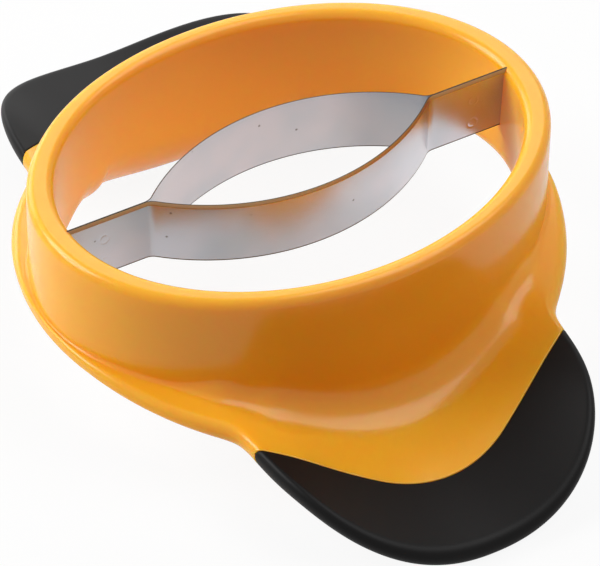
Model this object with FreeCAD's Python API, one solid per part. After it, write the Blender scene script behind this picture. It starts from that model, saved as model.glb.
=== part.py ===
import FreeCAD, Part
import math
import os

from FreeCAD import Vector

# Mango slicer: an oval moulded frame with two wing handles, two bent steel blades across
# its middle and a soft grip on each wing. Millimetres, +Z up.
#
# It stands on its handle side, so that the cutting edges and the rim that goes down on
# the board face up. X runs from wing to wing, Y runs along the blades, and the origin
# lies on the resting plane under the middle of the ring.

# Ring
ring_inner_length = 120.0      # along the blades, at the rim
ring_inner_width = 91.0        # across the blades, at the rim
ring_side_wall = 5.2           # thickness beside the blades
ring_end_wall = 6.9            # thickness at the blades' ends
rim_cut = 0.1                  # the rounded rim is cut this far down, flat for the board
frame_height = 51.0            # from the resting plane to the rim's crown
inner_draft = 2.0              # degrees, the inside narrows away from the rim

# Flange round the foot of the ring, which grows into the wings
flange_side = 1.1              # how far it stands out beside the blades' ends
flange_top = 24.5              # its upper face beside the blades' ends
flange_drop = 3.5              # how much lower that face is next to the wings
drop_start = 15.0              # X where it begins to fall
drop_end = 60.0                # X where it has fallen all the way
flange_thickness = 4.5
flange_inner_round = 5.3       # inside bottom edge of the ring, clear of the wings
flange_foot_fillet = 1.2       # crease between ring and flange

# Wings
overall_length = 199.2         # from wing tip to wing tip
wing_centre = 52.0             # X of the middle of the wing's rounded outline
wing_half_width = 43.0
wing_power = 2.55              # fullness of the outline's corners
neck_blend = 1.9               # softness of the neck between flange and wing
wing_thickness = 5.8
stand_cut = 0.5                # the tips would reach this far below the resting plane
wing_fall = 0.075              # fall of the upper face towards the tip, per millimetre
arch_rise = 12.0               # rise of the upper face from the centre line
arch_half_width = 38.0         # out to this distance beside it
face_blend = 1.0               # softness where the arch meets the flange
wing_inner_round = 19.0        # palm side, from the ring's inside to the wing
wing_foot_fillet = 10.0        # from the ring's outside to the wing
wing_angle = 30.0              # degrees, up to here the section is a wing's
flange_angle = 60.0            # degrees, and from here a plain flange's

# Blades
blade_height = 17.7
blade_thickness = 0.6
blade_setback = 0.4            # cutting edge below the rim's crown
pit_length = 77.0              # opening round the pit
pit_width = 30.0
fold_radius = 4.0              # between a tab and the bowed middle
bevel_height = 0.9             # ground on the side away from the pit
edge_thickness = 0.25          # what the bevel leaves at the cutting edge
tab_cover = 2.4                # wall of the ring outside the tabs' ends
anchor_hole_radius = 1.4       # the moulding fills these holes in the tabs' ends
anchor_hole_inset = 2.2
anchor_hole_spacing = 9.0

# Grips
grip_depth = 22.3              # on the centre line, from the wing's tip
grip_edge_radius = 36.5        # rounded middle of the grip's edge
grip_edge_slope = 28.5         # degrees, its straight flanks
grip_skin = 1.6                # soft layer over the frame's tongue
tongue_overlap = 8.0           # the tongue starts this far inside the frame
tongue_end_width = 4.0         # the tongue stops where it is this narrow
lock_hole_radius = 2.5         # the soft layer is joined through these
lock_hole_inset = 16.5         # from the wing's tip
lock_hole_spacing = 25.0

# Sections
quarter_steps = 20             # from the wing's centre line to the blades' ends
tongue_steps = 5               # from its centre line to its end
quarter_handle = 0.5523        # handle length with which a curve follows a quarter circle
edge_share = 0.49              # an edge is rounded over this share of its thickness
flange_share = 0.45            # a rounding takes up to this share of the flange's width
inner_share = 0.8              # the inside round takes up to this share of the palm side
halving_steps = 50

ring_outer_length = ring_inner_length + 2 * ring_end_wall
ring_outer_width = ring_inner_width + 2 * ring_side_wall
flange_radius = ring_outer_length / 2 + flange_side
wing_tip = overall_length / 2
tip_top = wing_thickness - stand_cut
blade_top = frame_height - blade_setback
tab_end = ring_outer_length / 2 - tab_cover
block_height = 3 * frame_height     # of cutting blocks, which pass right through
origin = Vector(0, 0, 0)
up = Vector(0, 0, 1)


# S curve, 0 below low and 1 above high
def smooth_step(value, low, high):
    share = min(max((value - low) / (high - low), 0.0), 1.0)
    return share * share * (3 - 2 * share)


# A size that goes from its flange value to its wing value with the angle
def between(flange_value, wing_value, angle):
    from_x_axis = math.degrees(math.atan2(abs(math.sin(angle)), abs(math.cos(angle))))
    wing_share = 1 - smooth_step(from_x_axis, wing_angle, flange_angle)
    return flange_value + (wing_value - flange_value) * wing_share


# The value between low and high where inside(value) stops being true
def halving(inside, low, high):
    for _ in range(halving_steps):
        middle = (low + high) / 2
        if inside(middle):
            low = middle
        else:
            high = middle
    return low


# Distance from the middle to an oval in one direction
def oval_radius(width, length, angle):
    return 0.5 / math.hypot(math.cos(angle) / width, math.sin(angle) / length)


# Distance to the wing's outline: a fuller ellipse round the wing's centre
def wing_radius(angle):
    def inside(radius):
        beyond = max(radius * abs(math.cos(angle)) - wing_centre, 0) / (wing_tip - wing_centre)
        beside = radius * abs(math.sin(angle)) / wing_half_width
        return beyond ** wing_power + beside ** wing_power < 1
    return halving(inside, 0, overall_length)


# Plan outline: the round flange or the wing, whichever reaches further, blended
def outline_radius(angle):
    larger, smaller = sorted((wing_radius(angle), flange_radius), reverse=True)
    return larger + neck_blend * math.log(1 + math.exp((smaller - larger) / neck_blend))


# Upper face of flange and wings: the lower of the arch and the flange, blended
def face_height(radius, angle):
    x, y = abs(radius * math.cos(angle)), radius * math.sin(angle)
    arch = tip_top + wing_fall * (wing_tip - x) + arch_rise * (y / arch_half_width) ** 2
    flange = flange_top - flange_drop * smooth_step(x, drop_start, drop_end)
    lower, higher = sorted((arch, flange))
    return lower - face_blend * math.log(1 + math.exp((lower - higher) / face_blend))


# Point in the upright plane through the Z axis at an angle
def place(angle, radius, z):
    return Vector(radius * math.cos(angle), radius * math.sin(angle), z)


# Closed wire in that plane: each corner is (radius, z, how far its rounding reaches)
def rounded_section(angle, corners):
    points = [place(angle, radius, z) for radius, z, _ in corners]
    starts, ends = [], []
    for i, (_, _, reach) in enumerate(corners):
        before = points[i - 1] - points[i]
        after = points[(i + 1) % len(points)] - points[i]
        starts.append(points[i] + before.normalize() * reach)
        ends.append(points[i] + after.normalize() * reach)
    edges = []
    for i, point in enumerate(points):
        first_handle = starts[i] + (point - starts[i]) * quarter_handle
        last_handle = ends[i] + (point - ends[i]) * quarter_handle
        curve = Part.BezierCurve()
        curve.setPoles([starts[i], first_handle, last_handle, ends[i]])
        edges.append(curve.toShape())
        edges.append(Part.LineSegment(ends[i], starts[(i + 1) % len(points)]).toShape())
    return Part.Wire(edges)


# Ring wall with its rim, and the flange or wing at its foot
def frame_section(angle):
    inner = oval_radius(ring_inner_width, ring_inner_length, angle)
    outer = oval_radius(ring_outer_width, ring_outer_length, angle)
    edge = outline_radius(angle)
    thickness = between(flange_thickness, wing_thickness, angle)
    foot_top = face_height(outer, angle)
    edge_top = face_height(edge, angle)
    inner_foot = inner - (frame_height - foot_top) * math.tan(math.radians(inner_draft))
    foot_bottom = face_height(inner_foot, angle) - thickness
    rim_round = edge_share * min(ring_side_wall, ring_end_wall)
    crown = frame_height + rim_cut
    lip_round = edge_share * thickness
    flange_limit = flange_share * (edge - outer)
    inner_limit = inner_share * (edge - lip_round - inner_foot)
    foot_fillet = between(flange_foot_fillet, wing_foot_fillet, angle)
    inner_round = between(flange_inner_round, wing_inner_round, angle)
    return rounded_section(angle, [
        (inner, crown, rim_round),
        (outer, crown, rim_round),
        (outer, foot_top, min(foot_fillet, flange_limit)),
        (edge, edge_top, min(lip_round, flange_limit)),
        (edge, edge_top - thickness, lip_round),
        (inner_foot, foot_bottom, min(inner_round, inner_limit)),
    ])


# A quarter of the moulding before its wing is stepped for the grip: sections from the
# wing's centre line to the blades' ends, cut flat where it stands and at the rim
def blank_quarter():
    angles = [math.pi / 2 * i / quarter_steps for i in range(quarter_steps + 1)]
    blank = Part.makeLoft([frame_section(angle) for angle in angles], True)
    corner = Vector(-overall_length, -overall_length, 0)
    return blank.common(Part.makeBox(2 * overall_length, 2 * overall_length, frame_height, corner))


# Middle of the round part of the grip's edge, on the X axis
def grip_edge_centre():
    return wing_tip - grip_depth - grip_edge_radius


# Everything beyond the grip's edge on the +X wing, as an upright block
def grip_zone():
    slope = math.radians(grip_edge_slope)
    turn_x = grip_edge_centre() + grip_edge_radius * math.cos(slope)
    turn_y = grip_edge_radius * math.sin(slope)
    side_y = flange_radius
    side_x = turn_x - (side_y - turn_y) * math.tan(slope)
    middle = Vector(wing_tip - grip_depth, 0, 0)
    arc = Part.Arc(Vector(turn_x, -turn_y, 0), middle, Vector(turn_x, turn_y, 0))
    flanks = Part.makePolygon([
        Vector(turn_x, turn_y, 0),
        Vector(side_x, side_y, 0),
        Vector(overall_length, side_y, 0),
        Vector(overall_length, -side_y, 0),
        Vector(side_x, -side_y, 0),
        Vector(turn_x, -turn_y, 0),
    ])
    block = Part.Face(Part.Wire([arc.toShape()] + flanks.Edges)).extrude(up * block_height)
    block.translate(up * -block_height / 2)
    return block


# Distance from the middle to the grip's edge
def grip_edge_distance(angle):
    slope = math.radians(grip_edge_slope)
    cos, sin = math.cos(angle), abs(math.sin(angle))
    across = grip_edge_centre() * sin
    on_arc = grip_edge_centre() * cos + math.sqrt(max(grip_edge_radius ** 2 - across ** 2, 0))
    if on_arc * sin <= grip_edge_radius * math.sin(slope):
        return on_arc
    flanks_meet = grip_edge_centre() + grip_edge_radius / math.cos(slope)
    return flanks_meet / (cos + math.tan(slope) * sin)


# The wing's section drawn in by the grip's skin
def tongue_section(angle):
    start = grip_edge_distance(angle) - tongue_overlap
    edge = outline_radius(angle) - grip_skin
    thickness = between(flange_thickness, wing_thickness, angle) - 2 * grip_skin
    start_top = face_height(start, angle) - grip_skin
    edge_top = face_height(edge, angle) - grip_skin
    edge_round = edge_share * thickness
    return rounded_section(angle, [
        (start, start_top, edge_round),
        (edge, edge_top, edge_round),
        (edge, edge_top - thickness, edge_round),
        (start, start_top - thickness, edge_round),
    ])


# Core of the +X wing inside its grip, from its centre line to one end, with holes that
# lock the soft layer on
def tongue_half():
    def wide_enough(angle):
        return outline_radius(angle) - grip_skin - grip_edge_distance(angle) > tongue_end_width
    end_angle = halving(wide_enough, 0, math.pi / 2)
    angles = [end_angle * i / tongue_steps for i in range(tongue_steps + 1)]
    core = Part.makeLoft([tongue_section(angle) for angle in angles], True)
    for y in (0, lock_hole_spacing):
        hole_base = Vector(wing_tip - lock_hole_inset, y, -block_height / 2)
        core = core.cut(Part.makeCylinder(lock_hole_radius, block_height, hole_base))
    return core


# One face of a blade seen from above: straight tabs, folds and the bowed middle.
# Offset 0 is the face towards the pit.
def blade_face(offset):
    half_length, bow = pit_length / 2, pit_width / 2
    bow_radius = (bow ** 2 + half_length ** 2) / (2 * bow)
    bow_centre = bow - bow_radius
    fold_y = math.sqrt(bow * (2 * (bow_radius + fold_radius) - bow))
    fold_angle = math.atan2(fold_y, fold_radius - bow_centre)
    inside_fold = fold_radius - offset
    half_turn = math.pi + fold_angle / 2
    end = Vector(offset, tab_end, 0)
    fold = Vector(offset, fold_y, 0)
    turn = Vector(fold_radius + inside_fold * math.cos(half_turn),
                  fold_y + inside_fold * math.sin(half_turn), 0)
    meet = Vector(bow_centre + (bow_radius + offset) * math.cos(fold_angle),
                  (bow_radius + offset) * math.sin(fold_angle), 0)

    def mirrored(point):
        return Vector(point.x, -point.y, 0)
    return [
        Part.LineSegment(mirrored(end), mirrored(fold)),
        Part.Arc(mirrored(fold), mirrored(turn), mirrored(meet)),
        Part.Arc(mirrored(meet), Vector(bow + offset, 0, 0), meet),
        Part.Arc(meet, turn, fold),
        Part.LineSegment(fold, end),
    ]


# Closed outline of a blade of one thickness, at one height
def blade_outline(thickness, z):
    edges = blade_face(0) + blade_face(thickness)
    for y in (-tab_end, tab_end):
        edges.append(Part.LineSegment(Vector(0, y, 0), Vector(thickness, y, 0)))
    wire = Part.Wire(Part.__sortEdges__([edge.toShape() for edge in edges]))
    wire.translate(up * z)
    return wire


# Steel strip on the +X side of the pit, ground on its outer face
def blade():
    bottom = blade_outline(blade_thickness, blade_top - blade_height)
    strip = Part.Face(bottom).extrude(up * (blade_height - bevel_height))
    bevel = Part.makeLoft([
        blade_outline(blade_thickness, blade_top - bevel_height),
        blade_outline(edge_thickness, blade_top),
    ], True, True)
    strip = strip.fuse(bevel).removeSplitter()
    for end in (-1, 1):
        for step in (-0.5, 0.5):
            hole_y = end * (tab_end - anchor_hole_inset)
            hole_z = blade_top - blade_height / 2 + step * anchor_hole_spacing
            hole_base = Vector(-blade_thickness, hole_y, hole_z)
            along_x = Vector(1, 0, 0)
            hole = Part.makeCylinder(anchor_hole_radius, 3 * blade_thickness, hole_base, along_x)
            strip = strip.cut(hole)
    return strip


# The same piece on the other side of the pit
def turned(shape):
    copy = shape.copy()
    copy.rotate(origin, up, 180)
    return copy


# A shape joined to its mirror image on the plane between them
def doubled(shape, normal):
    return shape.fuse(shape.mirror(origin, normal)).removeSplitter()


# Every piece by name. A quarter of the frame is its blank without the grip, with half a
# tongue, and with the moulding cut away where the blade's end lies in it.
def build():
    across_blades, along_blades = Vector(1, 0, 0), Vector(0, 1, 0)
    blank, zone, core, strip = blank_quarter(), grip_zone(), tongue_half(), blade()
    half_frame = doubled(blank.cut(zone).fuse(core).cut(strip), along_blades)
    grip = doubled(blank.common(zone).cut(core), along_blades)
    return {
        "frame": doubled(half_frame, across_blades),
        "blade_front": strip,
        "blade_back": turned(strip),
        "grip_front": grip,
        "grip_back": turned(grip),
    }


os.makedirs("parts", exist_ok=True)
for node, shape in build().items():
    solids = shape.Solids
    assert len(solids) == 1 and solids[0].isValid(), node + " is not one sound solid"
    solids[0].exportStep("parts/" + node + ".step")
    box = solids[0].optimalBoundingBox()
    lows = [round(value, 2) for value in (box.XMin, box.YMin, box.ZMin)]
    highs = [round(value, 2) for value in (box.XMax, box.YMax, box.ZMax)]
    print(node, "volume", round(solids[0].Volume), "mm3, box", lows, highs)
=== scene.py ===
import math

import bmesh
import bpy
import numpy as np
from mathutils import Matrix, Vector


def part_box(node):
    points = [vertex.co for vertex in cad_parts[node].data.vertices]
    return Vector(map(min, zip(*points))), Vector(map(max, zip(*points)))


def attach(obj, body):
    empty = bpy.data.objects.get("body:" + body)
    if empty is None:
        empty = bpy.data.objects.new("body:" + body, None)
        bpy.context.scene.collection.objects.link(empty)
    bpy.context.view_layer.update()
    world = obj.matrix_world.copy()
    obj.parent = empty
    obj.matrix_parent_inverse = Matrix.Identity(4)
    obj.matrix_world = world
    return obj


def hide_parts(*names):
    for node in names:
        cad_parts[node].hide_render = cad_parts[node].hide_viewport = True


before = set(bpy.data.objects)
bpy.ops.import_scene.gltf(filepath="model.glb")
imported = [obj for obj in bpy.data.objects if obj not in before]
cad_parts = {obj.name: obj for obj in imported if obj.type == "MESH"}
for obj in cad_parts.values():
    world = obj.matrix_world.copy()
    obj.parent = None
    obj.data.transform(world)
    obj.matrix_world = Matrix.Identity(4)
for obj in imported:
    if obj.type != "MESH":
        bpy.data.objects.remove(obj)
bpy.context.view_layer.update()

# Sizes below are millimetres unless a comment says otherwise, in the part's own frame:
# X from wing to wing, Y along the blades, Z up from the resting plane.
mm = 0.001
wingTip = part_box("grip_front")[1].x / mm
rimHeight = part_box("frame")[1].z / mm
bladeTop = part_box("blade_front")[1].z / mm
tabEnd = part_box("blade_front")[1].y / mm

# The second grip and the second blade are the first ones, given half a turn about Z
sides = (("front", False), ("back", True))
halfTurn = np.array([-1, -1, 1])
halvings = 50
tiny = 1e-9                      # keeps a division away from zero
mergeDistance = 2e-6             # metres
flatDistance = 1e-6              # metres


# Small tools


def toLinear(hexColour):
    # sRGB byte values to scene-linear: the standard two-part curve
    values = np.array([int(hexColour[i:i + 2], 16) for i in (1, 3, 5)]) / 255
    bright = ((values + 0.055) / 1.055) ** 2.4
    return tuple(np.where(values <= 0.04045, values / 12.92, bright)) + (1.0,)


def smoothStep(value, low, high):
    # 0 below low, 1 above high, cubic between
    share = np.clip((value - low) / (high - low), 0, 1)
    return share * share * (3 - 2 * share)


def makePiece(name, points, faces, material, sharpAngle=35.0, merge=True):
    # A smooth mesh from point and face arrays in millimetres, with its doubles merged where
    # the surface closes on itself, and edges kept sharp above the angle
    mesh = bpy.data.meshes.new(name)
    mesh.from_pydata((points * mm).tolist(), [], faces)
    shape = bmesh.new()
    shape.from_mesh(mesh)
    if merge:
        bmesh.ops.remove_doubles(shape, verts=shape.verts, dist=mergeDistance)
        bmesh.ops.dissolve_degenerate(shape, dist=flatDistance, edges=shape.edges)
    bmesh.ops.recalc_face_normals(shape, faces=shape.faces)
    shape.to_mesh(mesh)
    shape.free()
    mesh.shade_smooth()
    mesh.set_sharp_from_angle(angle=math.radians(sharpAngle))
    mesh.materials.append(material)
    piece = bpy.data.objects.new(name, mesh)
    bpy.context.scene.collection.objects.link(piece)
    print("made", name, len(mesh.polygons), "faces")
    return piece


def standFor(piece, node):
    # The piece rides on the only body and is shown instead of the CAD node
    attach(piece, "root")
    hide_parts(node)


def gridFaces(rows, columns, closedRows):
    # Quads of a grid whose columns close on themselves, point index = row * columns + column
    row = np.arange(rows if closedRows else rows - 1)[:, None]
    column = np.arange(columns)[None, :]
    nextRow, nextColumn = (row + 1) % rows, (column + 1) % columns
    corners = (row * columns + column, row * columns + nextColumn,
               nextRow * columns + nextColumn, nextRow * columns + column)
    corners = [np.broadcast_to(corner, (row.size, columns)).ravel() for corner in corners]
    return np.stack(corners, axis=1).tolist()


# Materials


def addNode(material, kind, settings=(), links=()):
    # One node with its settings; links are (input of the node, socket that feeds it)
    node = material.node_tree.nodes.new(kind)
    for name, value in dict(settings).items():
        if isinstance(name, str) and name not in node.inputs:
            setattr(node, name, value)
        else:
            node.inputs[name].default_value = value
    for name, socket in links:
        material.node_tree.links.new(socket, node.inputs[name])
    return node


def newMaterial(name):
    material = bpy.data.materials.new(name)
    material.use_nodes = True
    return material, material.node_tree.nodes["Principled BSDF"]


def feed(material, socket, target):
    material.node_tree.links.new(socket, target)


mouldedPlastic = {
    "colour": "#F6AE24",
    "flowColour": "#F9B32C",     # slightly paler streaks where the melt flowed
    "flowSize": 35.0,
    "roughness": 0.19,
    "roughnessSpread": 0.05,
    "gloss": 0.25,               # 0.5 is a clean polished surface
    "glowDepth": 8.0,            # how far red light wanders inside the plastic
    "glowShares": (1.0, 0.42, 0.10),      # of that depth for red, green and blue
    "glowAtRubber": 1.2,         # the same depth beside the rubber, which lets no light in
    "glowReach": 14.0,           # up to this distance from the rubber it is less
    "ripple": 9.0,               # slow waviness of a moulded wall
    "rippleDepth": 0.010,
    "grain": 0.35,               # polish marks of the mould, drawn about ten times as coarse
    "ior": 1.53,
}


def makeGlossAbs():
    # Gloss ABS, injection moulded in a polished mould: deep even colour, clear reflections
    # that waver slightly, very faint streaks of the melt. Light gets a few millimetres into
    # it, red the deepest, so that edges glow and shaded walls turn a deeper orange. The
    # fromRubber attribute is a point's distance from the rubber's border in plan, in metres.
    material, shader = newMaterial("gloss ABS, injection moulded")
    p = mouldedPlastic
    place = addNode(material, "ShaderNodeTexCoord")
    flow = addNode(material, "ShaderNodeTexNoise", {
        "Scale": 1 / (p["flowSize"] * mm), "Detail": 2.0,
    }, [("Vector", place.outputs["Object"])])
    colours = addNode(material, "ShaderNodeMix", {
        "data_type": "RGBA", 6: toLinear(p["colour"]), 7: toLinear(p["flowColour"]),
    }, [(0, flow.outputs["Fac"])])
    feed(material, colours.outputs[2], shader.inputs["Base Color"])
    grain = addNode(material, "ShaderNodeTexNoise", {"Scale": 1 / (p["grain"] * mm), "Detail": 3.0},
                    [("Vector", place.outputs["Object"])])
    rough = addNode(material, "ShaderNodeMapRange", {
        "To Min": p["roughness"] - p["roughnessSpread"] / 2,
        "To Max": p["roughness"] + p["roughnessSpread"] / 2,
    }, [("Value", grain.outputs["Fac"])])
    feed(material, rough.outputs["Result"], shader.inputs["Roughness"])
    ripple = addNode(material, "ShaderNodeTexNoise", {
        "Scale": 1 / (p["ripple"] * mm), "Detail": 1.0,
    }, [("Vector", place.outputs["Object"])])
    bump = addNode(material, "ShaderNodeBump", {"Strength": 1.0, "Distance": p["rippleDepth"] * mm},
                   [("Height", ripple.outputs["Fac"])])
    feed(material, bump.outputs["Normal"], shader.inputs["Normal"])
    shader.inputs["IOR"].default_value = p["ior"]
    shader.inputs["Specular IOR Level"].default_value = p["gloss"]
    shader.inputs["Subsurface Weight"].default_value = 1.0
    shader.inputs["Subsurface Radius"].default_value = p["glowShares"]
    border = addNode(material, "ShaderNodeAttribute", {"attribute_name": "fromRubber"})
    depth = addNode(material, "ShaderNodeMapRange", {
        "From Max": p["glowReach"] * mm,
        "To Min": p["glowAtRubber"] * mm,
        "To Max": p["glowDepth"] * mm,
    }, [("Value", border.outputs["Fac"])])
    feed(material, depth.outputs["Result"], shader.inputs["Subsurface Scale"])
    return material


softTouch = {
    "colour": "#080707",
    "worn": "#0C0B0B",
    "roughness": 0.46,
    "roughnessSpread": 0.08,
    "gloss": 0.12,
    "texture": 0.30,             # spark-eroded grain of the mould, drawn about twice as coarse
    "textureDepth": 0.006,
    "wearSize": 14.0,
    "ior": 1.5,
}


def makeSoftRubber():
    # Thermoplastic rubber, overmoulded on a fine spark-eroded grain: near black, dull, with
    # a soft grey bloom at glancing angles
    material, shader = newMaterial("thermoplastic rubber, overmoulded")
    p = softTouch
    place = addNode(material, "ShaderNodeTexCoord")
    wear = addNode(material, "ShaderNodeTexNoise", {
        "Scale": 1 / (p["wearSize"] * mm), "Detail": 4.0,
    }, [("Vector", place.outputs["Object"])])
    colours = addNode(material, "ShaderNodeMix", {
        "data_type": "RGBA", 6: toLinear(p["colour"]), 7: toLinear(p["worn"]),
    }, [(0, wear.outputs["Fac"])])
    feed(material, colours.outputs[2], shader.inputs["Base Color"])
    rough = addNode(material, "ShaderNodeMapRange", {
        "To Min": p["roughness"] - p["roughnessSpread"] / 2,
        "To Max": p["roughness"] + p["roughnessSpread"] / 2,
    }, [("Value", wear.outputs["Fac"])])
    feed(material, rough.outputs["Result"], shader.inputs["Roughness"])
    grain = addNode(material, "ShaderNodeTexNoise", {
        "Scale": 1 / (p["texture"] * mm), "Detail": 2.0,
    }, [("Vector", place.outputs["Object"])])
    bump = addNode(material, "ShaderNodeBump", {
        "Strength": 1.0, "Distance": p["textureDepth"] * mm,
    }, [("Height", grain.outputs["Fac"])])
    feed(material, bump.outputs["Normal"], shader.inputs["Normal"])
    shader.inputs["IOR"].default_value = p["ior"]
    shader.inputs["Specular IOR Level"].default_value = p["gloss"]
    return material


rolledStrip = {
    "warmColour": "#D5D2D9",
    "coolColour": "#C2CAD3",
    "tintSize": 22.0,
    "groundColour": "#9C8668",   # the bevel, finished by grinding and duller, painted tan as a reflection of the orange wall
    "landColour": "#2A221C",     # the narrow top edge and the foot, painted dark as shade
    "speckColour": "#6A5F58",
    "speckSpacing": 9.0,         # pits and specks of the strip, about this far apart
    "speckRadius": 0.32,
    "speckEdge": (0.5, 1.4),     # of that radius, where it fades
    "speckShare": 0.8,
    "patchEdge": (0.35, 0.65),   # noise values between which cool turns to warm
    "bevelMark": (0.1, 0.4),     # edge values between which the bevel's rougher finish and its painted reflection come in
    "topMark": (0.6, 0.9),       # and those of the top edge and the foot, painted dark as shade
    "roughness": 0.23,
    "roughnessSpread": 0.05,
    "groundRoughness": 0.34,
    "grainAcross": 0.12,         # rolling lines along the strip, drawn coarser than real
    "grainAlong": 9.0,
    "grainDepth": 0.0003,
    "wave": 16.0,                # thin strip is never quite flat
    "waveDepth": 0.020,
    "smudgeSize": 5.0,
    "smudgeMost": 0.5,           # the highest value of rolling lines times smudges
    "stainColour": "#8F979E",    # painted darker reflection of the shaded floor, beside one fold
    "paintedDarkReflectionAt": 104.0,            # along the strip
    "paintedDarkReflectionReach": 21.0,
    "paintedDarkReflectionShare": 0.5,
    "paintedDarkReflectionFrom": 0.3,            # of its reach, where it starts to fade
}


def makeRolledSteel():
    # Stainless strip, cold rolled: nearly a mirror, streaked along its length by the rolls,
    # slightly wavy, with warmer patches and a few pits. A darker patch beside one fold is a
    # painted reflection of shaded floor, the bevel, finished by grinding, is painted tan as a
    # reflection of the orange wall, and the sheared top edge and foot are painted dark as shade.
    # Its UV map is in metres: U along the strip, V is Z. Its edge attribute is 0.5 on the bevel
    # and 1 on the top edge and the foot.
    material, shader = newMaterial("stainless strip, cold rolled")
    p = rolledStrip
    shader.inputs["Metallic"].default_value = 1.0
    place = addNode(material, "ShaderNodeTexCoord")
    edge = addNode(material, "ShaderNodeAttribute", {"attribute_name": "edge"})
    # The bevel's mask sets its rougher finish and its painted reflection of the orange wall; the
    # mask of the top edge and the foot sets their painted shade
    ground, land = (
        addNode(material, "ShaderNodeMapRange", {"From Min": low, "From Max": high},
                [("Value", edge.outputs["Fac"])])
        for low, high in (p["bevelMark"], p["topMark"]))
    along = addNode(material, "ShaderNodeMapping", {
        "Scale": (1 / (p["grainAlong"] * mm), 1 / (p["grainAcross"] * mm), 1.0),
    }, [("Vector", place.outputs["UV"])])
    lines = addNode(material, "ShaderNodeTexNoise", {"Scale": 1.0, "Detail": 3.0},
                    [("Vector", along.outputs["Vector"])])
    smudge = addNode(material, "ShaderNodeTexNoise", {
        "Scale": 1 / (p["smudgeSize"] * mm), "Detail": 3.0,
    }, [("Vector", place.outputs["Object"])])
    both = addNode(material, "ShaderNodeMath", {"operation": "MULTIPLY"},
                   [(0, lines.outputs["Fac"]), (1, smudge.outputs["Fac"])])
    rolledRough = addNode(material, "ShaderNodeMapRange", {
        "From Max": p["smudgeMost"],
        "To Min": p["roughness"] - p["roughnessSpread"] / 2,
        "To Max": p["roughness"] + p["roughnessSpread"] / 2,
    }, [("Value", both.outputs["Value"])])
    rough = addNode(material, "ShaderNodeMix", {3: p["groundRoughness"]},
                    [(0, ground.outputs["Result"]), (2, rolledRough.outputs["Result"])])
    feed(material, rough.outputs[0], shader.inputs["Roughness"])
    # Colour: warm patches on the cool steel, then the painted darker reflection, specks, the
    # bevel's painted reflection of the orange wall and the painted shade of the top edge and foot
    # over them
    tint = addNode(material, "ShaderNodeTexNoise", {
        "Scale": 1 / (p["tintSize"] * mm), "Detail": 2.0,
    }, [("Vector", place.outputs["Object"])])
    patches = addNode(material, "ShaderNodeMapRange", {
        "From Min": p["patchEdge"][0], "From Max": p["patchEdge"][1],
    }, [("Value", tint.outputs["Fac"])])
    cells = addNode(material, "ShaderNodeTexVoronoi", {"Scale": 1 / (p["speckSpacing"] * mm)},
                    [("Vector", place.outputs["Object"])])
    specks = addNode(material, "ShaderNodeMapRange", {
        "From Min": p["speckEdge"][0] * p["speckRadius"] / p["speckSpacing"],
        "From Max": p["speckEdge"][1] * p["speckRadius"] / p["speckSpacing"],
        "To Min": p["speckShare"], "To Max": 0.0,
    }, [("Value", cells.outputs["Distance"])])
    onlyAlong = addNode(material, "ShaderNodeVectorMath", {"operation": "MULTIPLY", 1: (1, 0, 0)},
                        [(0, place.outputs["UV"])])
    # A painted darker reflection of the shaded floor, in a patch beside one fold
    fromPaintedDarkReflection = addNode(material, "ShaderNodeVectorMath", {
        "operation": "DISTANCE", 1: (p["paintedDarkReflectionAt"] * mm, 0, 0),
    }, [(0, onlyAlong.outputs["Vector"])])
    stain = addNode(material, "ShaderNodeMapRange", {
        "interpolation_type": "SMOOTHSTEP",
        "From Min": p["paintedDarkReflectionFrom"] * p["paintedDarkReflectionReach"] * mm, "From Max": p["paintedDarkReflectionReach"] * mm,
        "To Min": p["paintedDarkReflectionShare"], "To Max": 0.0,
    }, [("Value", fromPaintedDarkReflection.outputs["Value"])])
    below = None
    for share, name in ((patches, "warm"), (stain, "stain"), (specks, "speck"),
                        (ground, "ground"), (land, "land")):
        layer = addNode(material, "ShaderNodeMix", {
            "data_type": "RGBA", 7: toLinear(p[name + "Colour"]),
        }, [(0, share.outputs["Result"])])
        if below:
            feed(material, below, layer.inputs[6])
        else:
            layer.inputs[6].default_value = toLinear(p["coolColour"])
        below = layer.outputs[2]
    feed(material, below, shader.inputs["Base Color"])
    grain = addNode(material, "ShaderNodeBump", {"Strength": 1.0, "Distance": p["grainDepth"] * mm},
                    [("Height", lines.outputs["Fac"])])
    wave = addNode(material, "ShaderNodeTexNoise", {"Scale": 1 / (p["wave"] * mm), "Detail": 0.0},
                   [("Vector", place.outputs["Object"])])
    wavy = addNode(material, "ShaderNodeBump", {"Strength": 1.0, "Distance": p["waveDepth"] * mm},
                   [("Height", wave.outputs["Fac"]), ("Normal", grain.outputs["Normal"])])
    feed(material, wavy.outputs["Normal"], shader.inputs["Normal"])
    return material


glossAbs = makeGlossAbs()
softRubber = makeSoftRubber()
rolledSteel = makeRolledSteel()
print("materials ready")

# The moulding: sections in upright planes through the Z axis, one for each angle. Each is a
# closed outline of six corners, rounded by quarter-circle curves.

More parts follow.
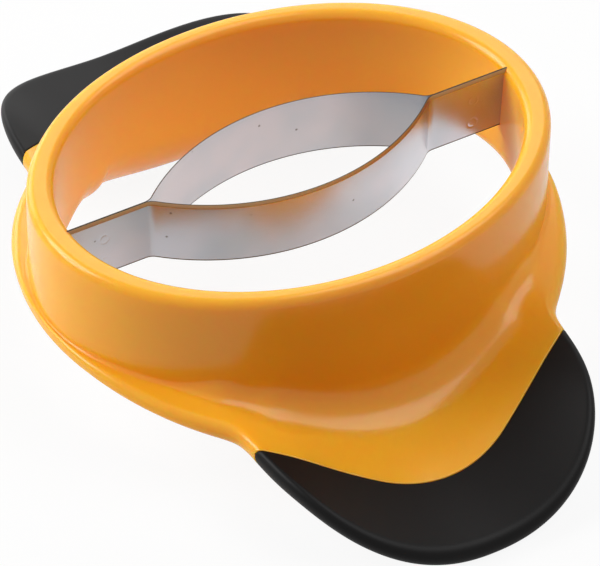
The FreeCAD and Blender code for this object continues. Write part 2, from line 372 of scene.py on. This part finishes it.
ring = {
    "innerLength": 120.0,
    "innerWidth": 91.0,
    "sideWall": 5.2,
    "endWall": 6.9,
    "draft": 2.0,                # degrees, of the inner wall
    "crownCut": 0.1,             # cut off the rounded rim, so that it lies flat on a board
}
flange = {
    "side": 1.1,                 # beyond the ring at the blades' ends
    "top": 24.5,                 # height of its face there
    "drop": 3.5,                 # how far the face sags towards the wings
    "dropFrom": 15.0,            # between these distances from the Y axis
    "dropTo": 60.0,
    "thickness": 4.5,
    "innerRound": 5.3,           # from the inner wall into the underside
    "foot": 1.2,                 # fillet from the outer wall into the face
}
wing = {
    "centre": 52.0,              # of its oval outline, from the Z axis
    "halfWidth": 43.0,
    "power": 2.55,               # 2 is an ellipse, and more is squarer
    "neckBlend": 1.9,            # softens the corner between wing and flange
    "thickness": 5.8,
    "standCut": 0.5,             # cut off the tip's underside, to stand on
    "fall": 0.075,               # slope of the face down to the tip
    "archRise": 12.0,            # the sides are this much higher than the middle
    "archHalfWidth": 38.0,       # at this distance from the X axis
    "faceBlend": 1.0,            # softens the edge between the wing's face and the flange's
    "innerRound": 19.0,
    "foot": 10.0,
    "until": 30.0,               # degrees from the X axis
    "flangeFrom": 60.0,          # degrees
}
grip = {
    "depth": 22.3,
    "edgeRadius": 36.5,
    "edgeSlope": 28.5,           # degrees
    "softEdge": 0.45,            # rounding of the rubber where it meets the plastic
    "hardEdge": 0.30,            # rounding of the plastic there
}
rounding = {
    "quarterHandle": 0.5523,     # a cubic curve with this share of handle is a quarter circle
    "edgeShare": 0.49,           # of the thickness, at the rim and the lip
    "flangeShare": 0.45,         # of the flange's reach beyond the wall
    "innerShare": 0.8,           # of the underside's reach
}
detail = {
    "roundSteps": 48,            # points on each rounded corner before the columns are picked
    "lineSteps": 48,
    "wingRows": 58,
    "flangeRows": 84,
    "hornCloseness": (0.03, 0.07, 0.13, 0.2, 0.3, 0.42, 0.58, 0.8),     # degrees from the horn
    "innerWallStep": 9,          # each ninth point of the inner wall is kept, and so on
    "roundStep": 4,
    "outerWallStep": 6,
    "faceSteps": 12,
    "undersideSteps": 34,
    "borderTail": (0, 0.03, 0.07, 0.13, 0.2, 0.3, 0.42, 0.6, 0.9, 1.3, 1.7, 2.2, 2.7, 3.3, 4.0),
    "gripTail": 9,               # the rubber keeps this many of them on its side
    "gripSteps": 22,
    "lipReach": 4.4,             # closer points up to this far from the middle of the lip
    "lipSteps": 14,
    "endsShare": 0.8,            # of a short row that its close points may take
    "rowShift": 10000.0,         # more than the length of any section
}
span = detail["roundSteps"] + detail["lineSteps"]      # points from one corner to the next
roundEnd = detail["roundSteps"]
lipMiddle = 3 * span + roundEnd + detail["lineSteps"] // 2
betweenShares = np.array([0.33, 0.67])[None, :, None]  # the two points across the border's step
outerLength = ring["innerLength"] + 2 * ring["endWall"]
outerWidth = ring["innerWidth"] + 2 * ring["sideWall"]
flangeRadius = outerLength / 2 + flange["side"]
tipTop = wing["thickness"] - wing["standCut"]


def between(flangeValue, wingValue, angle):
    # The wing's value near the X axis, the flange's near the Y axis, and a smooth step between
    fromX = np.degrees(np.arctan2(np.abs(np.sin(angle)), np.abs(np.cos(angle))))
    share = smoothStep(fromX, wing["until"], wing["flangeFrom"])
    return wingValue + (flangeValue - wingValue) * share


def ovalRadius(width, length, angle):
    # 1 / r^2 = cos^2 / a^2 + sin^2 / b^2
    return 0.5 / np.hypot(np.cos(angle) / width, np.sin(angle) / length)


def outlineRadius(angle):
    # Wing: (beyond / reach)^power + (beside / half width)^power = 1, found by halving.
    # Then a smooth maximum of the wing and the round flange.
    cos, sin = np.abs(np.cos(angle)), np.abs(np.sin(angle))
    low, high = np.zeros_like(angle), np.full_like(angle, 2 * wingTip)
    for _ in range(halvings):
        middle = (low + high) / 2
        beyond = np.maximum(middle * cos - wing["centre"], 0) / (wingTip - wing["centre"])
        beside = middle * sin / wing["halfWidth"]
        inside = beyond ** wing["power"] + beside ** wing["power"] < 1
        low, high = np.where(inside, middle, low), np.where(inside, high, middle)
    gap = np.abs(low - flangeRadius)
    blend = wing["neckBlend"]
    return np.maximum(low, flangeRadius) + blend * np.log1p(np.exp(-gap / blend))


def faceHeight(radius, angle):
    # Smooth minimum of the wing's arch, a parabola across X, and the flange's sagging face
    x, y = np.abs(radius * np.cos(angle)), radius * np.sin(angle)
    arch = wing["archRise"] * (y / wing["archHalfWidth"]) ** 2
    arch = tipTop + wing["fall"] * (wingTip - x) + arch
    flat = flange["top"] - flange["drop"] * smoothStep(x, flange["dropFrom"], flange["dropTo"])
    gap, blend = np.abs(arch - flat), wing["faceBlend"]
    return np.minimum(arch, flat) - blend * np.log1p(np.exp(-gap / blend))


def roundedOutline(corners, reach):
    # corners is (rows, corners, 2). Each corner becomes a cubic curve,
    # (1-t)^3 start + 3t(1-t)^2 handle + 3t^2(1-t) handle + t^3 end, with its handles a share
    # of the way to the corner, followed by the straight line to the next one.
    before = np.roll(corners, 1, axis=1) - corners
    after = np.roll(corners, -1, axis=1) - corners
    before /= np.linalg.norm(before, axis=2, keepdims=True)
    after /= np.linalg.norm(after, axis=2, keepdims=True)
    starts = corners + before * reach[:, :, None]
    ends = corners + after * reach[:, :, None]
    firstHandles = starts + (corners - starts) * rounding["quarterHandle"]
    lastHandles = ends + (corners - ends) * rounding["quarterHandle"]
    t = np.linspace(0, 1, detail["roundSteps"] + 1)[:, None]
    curves = ((1 - t) ** 3 * starts[:, :, None] + 3 * t * (1 - t) ** 2 * firstHandles[:, :, None]
              + 3 * t ** 2 * (1 - t) * lastHandles[:, :, None] + t ** 3 * ends[:, :, None])
    u = np.linspace(0, 1, detail["lineSteps"] + 1)[1:-1, None]
    nextStarts = np.roll(starts, -1, axis=1)
    lines = ends[:, :, None] * (1 - u) + nextStarts[:, :, None] * u
    return np.concatenate([curves, lines], axis=2).reshape(len(corners), -1, 2)


def mouldingSections(angle):
    # Six corners in (radius, z) for each angle: the rim inside and outside, the outer wall's
    # foot on the face, the outline above and below, and the inner wall's foot. The inner wall
    # leans by its draft, and the underside is the face sunk by the thickness.
    inner = ovalRadius(ring["innerWidth"], ring["innerLength"], angle)
    outer = ovalRadius(outerWidth, outerLength, angle)
    edge = outlineRadius(angle)
    thickness = between(flange["thickness"], wing["thickness"], angle)
    footTop, edgeTop = faceHeight(outer, angle), faceHeight(edge, angle)
    innerFoot = inner - (rimHeight - footTop) * math.tan(math.radians(ring["draft"]))
    footBottom = faceHeight(innerFoot, angle) - thickness
    crown = np.full_like(angle, rimHeight + ring["crownCut"])
    lipRound = rounding["edgeShare"] * thickness
    flangeLimit = rounding["flangeShare"] * (edge - outer)
    thinWall = min(ring["sideWall"], ring["endWall"])
    rimRound = np.full_like(angle, rounding["edgeShare"] * thinWall)
    foot = np.minimum(between(flange["foot"], wing["foot"], angle), flangeLimit)
    innerRound = np.minimum(between(flange["innerRound"], wing["innerRound"], angle),
                            rounding["innerShare"] * (edge - lipRound - innerFoot))
    radius = np.stack([inner, outer, outer, edge, edge, innerFoot], axis=1)
    height = np.stack([crown, crown, footTop, edgeTop, edgeTop - thickness, footBottom], axis=1)
    lipTop = np.minimum(lipRound, flangeLimit)
    reach = np.stack([rimRound, rimRound, foot, lipTop, lipRound, innerRound], axis=1)
    outline = roundedOutline(np.stack([radius, height], axis=2), reach)
    outline[:, :, 1] = np.clip(outline[:, :, 1], 0, rimHeight)
    return outline


def gripBorder(x, y):
    # Distance in plan from the rubber's border, positive on the rubber: an arc round a point
    # on the X axis, with straight flanks that leave it at the slope's angle
    slope = math.radians(grip["edgeSlope"])
    fromCentre = np.abs(x) - (wingTip - grip["depth"] - grip["edgeRadius"])
    onArc = np.arctan2(np.abs(y), fromCentre) < slope
    flank = fromCentre * math.cos(slope) + np.abs(y) * math.sin(slope)
    return np.where(onArc, np.hypot(fromCentre, y), flank) - grip["edgeRadius"]


def borderAlong(run, angle):
    # gripBorder at the points of (radius, z) rows
    return gripBorder(run[:, :, 0] * np.cos(angle)[:, None], run[:, :, 0] * np.sin(angle)[:, None])


def takeAlong(distance, values, wanted):
    # values at the wanted distances along each row. The rows are shifted apart by a step
    # longer than any section, so that one interpolation serves them all.
    shift = detail["rowShift"] * np.arange(len(distance))[:, None]
    asked, known = (wanted + shift).ravel(), (distance + shift).ravel()
    found = [np.interp(asked, known, values[:, :, i].ravel()) for i in range(values.shape[2])]
    return np.stack(found, axis=1).reshape(wanted.shape + (-1,))


def runLength(run):
    # Distance of each point along its row
    steps = np.linalg.norm(np.diff(run, axis=1), axis=2)
    return np.concatenate([np.zeros((len(run), 1)), np.cumsum(steps, axis=1)], axis=1)


def crossingAt(run, length, angle):
    # Distance along each row's run where it crosses the rubber's border, or its whole length
    border = borderAlong(run, angle)
    past = border > 0
    first = np.argmax(past, axis=1)
    rows = np.arange(len(run))
    before = np.maximum(first - 1, 0)
    low, high = border[rows, before], border[rows, first]
    share = np.clip(-low / np.where(high > low, high - low, 1), 0, 1)
    crossing = length[rows, before] + share * (length[rows, first] - length[rows, before])
    return np.where(past.any(axis=1), crossing, length[:, -1])


def spread(low, high, head, middleSteps, tail):
    # Distances from low to high: close together near the ends as head and tail say, and
    # even in the middle. head and tail shrink on a row that is too short for them.
    head, tail = np.asarray(head), np.asarray(tail)
    total = (high - low)[:, None]
    scale = np.minimum(1, detail["endsShare"] * total / (head[-1] + tail[-1] + tiny))
    first = low[:, None] + head[None, :] * scale
    last = high[:, None] - tail[None, ::-1] * scale
    share = np.linspace(0, 1, middleSteps + 1)[None, 1:-1]
    return np.concatenate([first, first[:, -1:] * (1 - share) + last[:, :1] * share, last], axis=1)


def inSpace(run, angle):
    # (radius, z) rows to X = radius cos(angle), Y = radius sin(angle) and Z
    return np.stack([run[:, :, 0] * np.cos(angle)[:, None], run[:, :, 0] * np.sin(angle)[:, None],
                     run[:, :, 1]], axis=2)


def roundTowardsBorder(run, angle, radius, side):
    # Sinks the points near the border into the section, along its normal, by
    # radius - sqrt(radius^2 - (radius - distance)^2). side is 1 where the material lies to
    # the right of the run's direction.
    inside = np.clip(radius - np.abs(borderAlong(run, angle)), 0, radius)
    sink = radius - np.sqrt(radius ** 2 - inside ** 2)
    tangent = np.gradient(run, axis=1)
    tangent /= np.maximum(np.linalg.norm(tangent, axis=2, keepdims=True), tiny)
    inwards = np.stack([tangent[:, :, 1], -tangent[:, :, 0]], axis=2) * side
    return run + inwards * sink[:, :, None]


def hornAngle():
    # The angle at which the outline meets the rubber's border, by halving
    low, high = 0.0, math.pi / 3
    for _ in range(halvings):
        middle = (low + high) / 2
        reach = outlineRadius(np.array([middle]))[0]
        if gripBorder(reach * math.cos(middle), reach * math.sin(middle)) > 0:
            low = middle
        else:
            high = middle
    return low


# Angles of the sections, closer together beside the horn, where outline and border meet
horn = hornAngle()
close = np.radians(detail["hornCloseness"])
wingAngles = np.linspace(0, horn - close[-1], detail["wingRows"], endpoint=False)
flangeAngles = np.linspace(horn + close[-1], math.pi / 2, detail["flangeRows"] + 1)[1:]
quarter = np.concatenate([wingAngles, horn - close[::-1], [horn], horn + close, flangeAngles])
half = np.concatenate([quarter, math.pi - quarter[-2::-1]])
allAngles = np.concatenate([half, math.pi + half[1:-1]])
wingHalf = quarter[quarter <= horn + tiny]
gripAngles = np.concatenate([-wingHalf[:0:-1], wingHalf])


def upperRun(sections):
    # From the end of the foot's fillet out over the face to the middle of the lip
    return sections[:, 2 * span + roundEnd:lipMiddle + 1]


def lowerRun(sections):
    # From the inner foot's round out along the underside to the middle of the lip
    return sections[:, lipMiddle:5 * span + roundEnd + 1][:, ::-1]


def frameMesh():
    # One closed loop for each angle, all the way round: the walls and the rim by picked
    # points of the section, then face and underside up to the rubber's border
    angle = allAngles
    sections = mouldingSections(angle)
    roundStep, wallStep = detail["roundStep"], detail["outerWallStep"]
    innerWall = sections[:, 5 * span + roundEnd::detail["innerWallStep"]]
    picks = np.concatenate([np.arange(0, roundEnd + 1, roundStep),
                            [roundEnd + detail["lineSteps"] // 2],
                            np.arange(span, span + roundEnd + 1, roundStep),
                            np.arange(span + roundEnd + wallStep, 2 * span, wallStep),
                            np.arange(2 * span, 2 * span + roundEnd, roundStep)])
    wall = np.concatenate([innerWall, sections[:, picks]], axis=1)
    runs = []
    for run, steps in ((upperRun(sections), detail["faceSteps"]),
                       (lowerRun(sections), detail["undersideSteps"])):
        length = runLength(run)
        stop = crossingAt(run, length, angle)
        wanted = spread(np.zeros_like(stop), stop, [0], steps, detail["borderTail"])
        runs.append(takeAlong(length, run, wanted))
    upper = roundTowardsBorder(runs[0], angle, grip["hardEdge"], 1)
    lower = roundTowardsBorder(runs[1], angle, grip["hardEdge"], -1)
    step = upper[:, -1:] * (1 - betweenShares) + lower[:, -1:] * betweenShares
    loop = np.concatenate([wall, upper, step, lower[:, ::-1][:, :-1]], axis=1)
    return inSpace(loop, angle)


def gripMesh(turned):
    # One closed loop for each angle from horn to horn: the same face and underside, from
    # the rubber's border out round the lip
    angle = gripAngles
    sections = mouldingSections(angle)
    head = detail["borderTail"][:detail["gripTail"]]
    tail = np.linspace(0, detail["lipReach"], detail["lipSteps"])
    runs = []
    for run in (upperRun(sections), lowerRun(sections)):
        length = runLength(run)
        start = crossingAt(run, length, angle)
        wanted = spread(start, length[:, -1], head, detail["gripSteps"], tail)
        runs.append(takeAlong(length, run, wanted))
    upper = roundTowardsBorder(runs[0], angle, grip["softEdge"], 1)
    lower = roundTowardsBorder(runs[1], angle, grip["softEdge"], -1)
    step = lower[:, :1] * (1 - betweenShares) + upper[:, :1] * betweenShares
    loop = np.concatenate([upper, lower[:, ::-1][:, 1:], step], axis=1)
    points = inSpace(loop, angle)
    points[[0, -1]] = points[[0, -1]].mean(axis=1, keepdims=True)      # each tip closes in a point
    return points * halfTurn if turned else points


def makeGrid(name, points, closedRows, material):
    rows, columns = points.shape[:2]
    return makePiece(name, points.reshape(-1, 3), gridFaces(rows, columns, closedRows), material)


def markFromRubber(piece):
    # Stores each point's distance from the rubber's border in plan, in metres
    places = np.zeros(3 * len(piece.data.vertices))
    piece.data.vertices.foreach_get("co", places)
    distance = np.abs(gripBorder(places[0::3] / mm, places[1::3] / mm)) * mm
    layer = piece.data.attributes.new("fromRubber", "FLOAT", "POINT")
    layer.data.foreach_set("value", distance)


mouldedFrame = makeGrid("moulded_frame", frameMesh(), True, glossAbs)
markFromRubber(mouldedFrame)
standFor(mouldedFrame, "frame")
for side, turned in sides:
    softGrip = makeGrid("soft_grip_" + side, gripMesh(turned), False, softRubber)
    standFor(softGrip, "grip_" + side)

# Blades: a strip section carried along a path of tab, fold, bow, fold and tab

blade = {
    "height": 17.7,
    "thickness": 0.6,
    "pitLength": 77.0,
    "pitWidth": 30.0,
    "foldRadius": 4.0,
    "bevel": 0.9,
    "edge": 0.25,
    "edgeRound": 0.05,
    "cornerCut": 0.3,            # of that rounding, where its middle point lies
    "bevelRound": (0.01, 0.04),  # inwards and in height, at the bevel's lower corner
    "footLine": 0.25,            # the sheared lower edge, painted dark as shade like the top one
    "tabStep": 0.16,
    "outFaceSteps": 96,
    "pitFaceSteps": 14,
    "bevelSteps": 5,
    "bowSteps": 140,
    "foldSteps": 16,
    "sharpAngle": 20.0,          # degrees
    "weldY": 51.3,
    "weldHeights": (44.2, 37.0),
    "weldRadius": 1.25,          # of the ring that each spot weld leaves
    "weldRing": 0.45,            # half the width of that ring
    "weldDepth": 0.04,
}


def bladePath():
    # Points on the face towards the pit and the directions away from the pit, in plan. The
    # bow is an arc of radius (bow^2 + half^2) / (2 bow), and the fold is an arc that touches
    # both the tab's straight line and the bow.
    half, bow = blade["pitLength"] / 2, blade["pitWidth"] / 2
    bowRadius = (bow ** 2 + half ** 2) / (2 * bow)
    bowCentre = bow - bowRadius
    fold = blade["foldRadius"]
    foldY = math.sqrt(bow * (2 * (bowRadius + fold) - bow))
    foldAngle = math.atan2(foldY, fold - bowCentre)
    tabY = np.arange(tabEnd, foldY, -blade["tabStep"])
    tab = np.stack([np.zeros_like(tabY), tabY], axis=1)
    tabOut = np.tile([1.0, 0.0], (len(tabY), 1))
    turn = np.pi + np.linspace(0, foldAngle, blade["foldSteps"])
    ray = np.stack([np.cos(turn), np.sin(turn)], axis=1)
    folded = np.array([fold, foldY]) + fold * ray
    sweep = np.linspace(foldAngle, 0, blade["bowSteps"] // 2)[1:]
    bowRay = np.stack([np.cos(sweep), np.sin(sweep)], axis=1)
    bowed = np.array([bowCentre, 0.0]) + bowRadius * bowRay
    points = np.concatenate([tab, folded, bowed])
    outwards = np.concatenate([tabOut, -ray, bowRay])
    mirror = np.array([1.0, -1.0])
    return (np.concatenate([points, (points * mirror)[-2::-1]]),
            np.concatenate([outwards, (outwards * mirror)[-2::-1]]))


def stripSection():
    # Closed outline as (offset from the pit's face, z), with every edge slightly rounded,
    # and the edge value of each point: 0.5 on the bevel, 1 on the top edge and the foot
    low, high = bladeTop - blade["height"], bladeTop
    t, r, heel = blade["thickness"], blade["edgeRound"], high - blade["bevel"]
    cut, (inwards, upwards) = blade["cornerCut"] * r, blade["bevelRound"]
    foot = np.array([[0, low + r], [0, low + blade["footLine"]]])
    pitZ = np.linspace(low + blade["footLine"] + r, high - r, blade["pitFaceSteps"])
    pitFace = np.stack([np.zeros_like(pitZ), pitZ], axis=1)
    tip = np.array([[cut, high - cut], [r, high], [blade["edge"] - r, high]])
    bevelTop, bevelFoot = (blade["edge"], high - r), (t - inwards, heel + upwards)
    bevel = np.linspace(bevelTop, bevelFoot, blade["bevelSteps"])
    outFace = np.linspace((t, heel - upwards), (t, low + r), blade["outFaceSteps"])
    bottom = np.array([[t - cut, low + cut], [t - r, low], [r, low], [cut, low + cut]])
    # The foot's lowest points get the value 1, which paints them dark as shade
    paintedShadeFoot = outFace[:, 1] < low + blade["footLine"] + r / 2
    values = np.concatenate([np.ones(len(foot)), np.zeros(len(pitFace)), np.ones(len(tip)),
                             np.full(len(bevel), 0.5), paintedShadeFoot, np.ones(len(bottom))])
    return np.concatenate([foot, pitFace, tip, bevel, outFace, bottom]), values


def bladeMesh(turned):
    # The section carried along the path: place = path + outwards * offset, and Z = z
    path, outwards = bladePath()
    section = stripSection()[0]
    offset, z = section[None, :, 0], section[None, :, 1]
    x = path[:, :1] + outwards[:, :1] * offset
    y = path[:, 1:] + outwards[:, 1:] * offset
    z = np.broadcast_to(z, x.shape)
    # Spot welds: ring-shaped grooves d * (1 - ((distance - radius) / width)^2)^2 in the tabs
    onOutFace = offset > blade["thickness"] - tiny
    for weldZ in blade["weldHeights"]:
        distance = np.hypot(np.abs(y) - blade["weldY"], z - weldZ) - blade["weldRadius"]
        groove = np.clip(1 - (distance / blade["weldRing"]) ** 2, 0, 1) ** 2
        x = x - blade["weldDepth"] * groove * onOutFace
    points = np.stack([x, y, z], axis=2)
    return points * halfTurn if turned else points


def makeBlade(name, turned):
    # The strip as a grid of path by section, its two ends closed, with a UV map in metres:
    # how far along the strip, and how high. Its edge attribute marks bevel, top and foot.
    points = bladeMesh(turned)
    rows, columns = points.shape[:2]
    ends = [list(range(columns)), list(range((rows - 1) * columns, rows * columns))]
    flat = points.reshape(-1, 3)
    piece = makePiece(name, flat, gridFaces(rows, columns, False) + ends, rolledSteel,
                      sharpAngle=blade["sharpAngle"], merge=False)
    steps = np.linalg.norm(np.diff(bladePath()[0], axis=0), axis=1)
    along = np.repeat(np.concatenate([[0], np.cumsum(steps)]), columns)
    layer = piece.data.uv_layers.new(name="strip")
    corner = np.zeros(len(piece.data.loops), int)
    piece.data.loops.foreach_get("vertex_index", corner)
    layer.data.foreach_set("uv", (np.stack([along, flat[:, 2]], axis=1)[corner] * mm).ravel())
    edge = piece.data.attributes.new("edge", "FLOAT", "POINT")
    edge.data.foreach_set("value", np.tile(stripSection()[1], rows))
    return piece


for side, turned in sides:
    standFor(makeBlade("bent_blade_" + side, turned), "blade_" + side)

# Floor, lights and camera

studio = {
    "floorHalf": 3000.0,
    "paper": "#DCDCDC",          # what the floor throws back on the object
    "mirroredPaper": "#B8B8B8",  # the lit part of what the object mirrors, over its glow
    "mirroredGlow": 0.50,
    "seenPaper": "#4A4A4A",      # the lit part of what the camera sees, over its glow
    "seenGlow": 0.91,
}


def rayShares(owner):
    # 1 for rays from the camera, and 1 for rays mirrored or let through by the object
    path = addNode(owner, "ShaderNodeLightPath")
    mirrored = addNode(owner, "ShaderNodeMath", {"operation": "MAXIMUM"}, [
        (0, path.outputs["Is Glossy Ray"]), (1, path.outputs["Is Transmission Ray"]),
    ])
    return path.outputs["Is Camera Ray"], mirrored.outputs["Value"]


def makeFloor():
    # White paper: bright and even to the eye, with a soft shadow of the object left on it
    material, shader = newMaterial("white paper, matt")
    seen, mirrored = rayShares(material)
    inMirror = addNode(material, "ShaderNodeMix", {
        "data_type": "RGBA", 6: toLinear(studio["paper"]), 7: toLinear(studio["mirroredPaper"]),
    }, [(0, mirrored)])
    colours = addNode(material, "ShaderNodeMix", {
        "data_type": "RGBA", 7: toLinear(studio["seenPaper"]),
    }, [(0, seen), (6, inMirror.outputs[2])])
    feed(material, colours.outputs[2], shader.inputs["Base Color"])
    shader.inputs["Roughness"].default_value = 1.0
    shader.inputs["Specular IOR Level"].default_value = 0.0
    mirroredGlow = addNode(material, "ShaderNodeMath", {
        "operation": "MULTIPLY", 1: studio["mirroredGlow"],
    }, [(0, mirrored)])
    glow = addNode(material, "ShaderNodeMath", {"operation": "MULTIPLY_ADD", 1: studio["seenGlow"]},
                   [(0, seen), (2, mirroredGlow.outputs["Value"])])
    shader.inputs["Emission Color"].default_value = (1, 1, 1, 1)
    feed(material, glow.outputs["Value"], shader.inputs["Emission Strength"])
    material.cycles.emission_sampling = "NONE"
    half = studio["floorHalf"] * mm
    mesh = bpy.data.meshes.new("floor")
    mesh.from_pydata([(-half, -half, 0), (half, -half, 0), (half, half, 0), (-half, half, 0)], [],
                     [(0, 1, 2, 3)])
    mesh.materials.append(material)
    floor = bpy.data.objects.new("floor", mesh)
    bpy.context.scene.collection.objects.link(floor)


def makeWorld():
    # White where it is seen or mirrored, and no light of its own on the object
    world = bpy.data.worlds.new("studio")
    bpy.context.scene.world = world
    world.use_nodes = True
    background = world.node_tree.nodes["Background"]
    background.inputs["Color"].default_value = (1, 1, 1, 1)
    seen, mirrored = rayShares(world)
    level = addNode(world, "ShaderNodeMath", {"operation": "MAXIMUM"}, [(0, seen), (1, mirrored)])
    feed(world, level.outputs["Value"], background.inputs["Strength"])
    world.cycles.sampling_method = "NONE"


# Soft boxes round the object, each aimed at it: where each stands as seen from above, how
# high it is, and its level, where 1 lights a white card facing it to white
softBoxes = {
    "left": {"azimuth": 329.5, "elevation": 35.0, "level": 0.97, "size": 700.0},
    "low back left": {"azimuth": 284.5, "elevation": 12.0, "level": 0.33, "size": 700.0},
    "back": {"azimuth": 239.5, "elevation": 35.0, "level": 0.27, "size": 700.0},
    "right": {"azimuth": 149.5, "elevation": 60.0, "level": 0.62, "size": 850.0},
}
boxDistance = 1200.0


def fromAbove(azimuth, elevation):
    # Direction from the object, with azimuth 0 towards -Y and 90 towards +X
    a, e = math.radians(azimuth), math.radians(elevation)
    return Vector((math.sin(a) * math.cos(e), -math.cos(a) * math.cos(e), math.sin(e)))


def makeSoftBox(name, spec):
    towards = fromAbove(spec["azimuth"], spec["elevation"])
    lamp = bpy.data.lights.new(name, "AREA")
    lamp.shape = "SQUARE"
    lamp.size = spec["size"] * mm
    lamp.energy = spec["level"] * (math.pi * boxDistance * mm) ** 2
    softBox = bpy.data.objects.new(name, lamp)
    bpy.context.scene.collection.objects.link(softBox)
    softBox.location = towards * boxDistance * mm + Vector((0, 0, rimHeight / 2 * mm))
    softBox.rotation_euler = towards.to_track_quat("Z", "Y").to_euler()
    softBox.visible_camera = False


photoView = {
    "azimuth": 59.494,           # degrees, seen from +X and -Y
    "elevation": 43.565,         # degrees
    "roll": 1.047,               # degrees
    "distance": 1211.0,          # from the middle of the rim's plane
    "right": 2.22,
    "up": -32.86,
    "lens": 301.67,
    "sensor": 36.0,
}


def makeCamera():
    v = photoView
    back = fromAbove(v["azimuth"], v["elevation"])
    level = Vector((0, 0, 1)).cross(back).normalized()
    upright = back.cross(level)
    roll = math.radians(v["roll"])
    right = level * math.cos(roll) + upright * math.sin(roll)
    up = upright * math.cos(roll) - level * math.sin(roll)
    place = back * v["distance"] + right * v["right"] + up * v["up"] + Vector((0, 0, rimHeight))
    lens = bpy.data.cameras.new("photo view")
    lens.lens = v["lens"]
    lens.sensor_width = v["sensor"]
    lens.sensor_fit = "HORIZONTAL"
    camera = bpy.data.objects.new("photo view", lens)
    bpy.context.scene.collection.objects.link(camera)
    turn = Matrix((right, up, back)).transposed().to_4x4()
    camera.matrix_world = Matrix.Translation(place * mm) @ turn
    bpy.context.scene.camera = camera


makeFloor()
makeWorld()
for name, spec in softBoxes.items():
    makeSoftBox(name, spec)
makeCamera()
bpy.context.scene.view_settings.view_transform = "Standard"
print("stage ready")
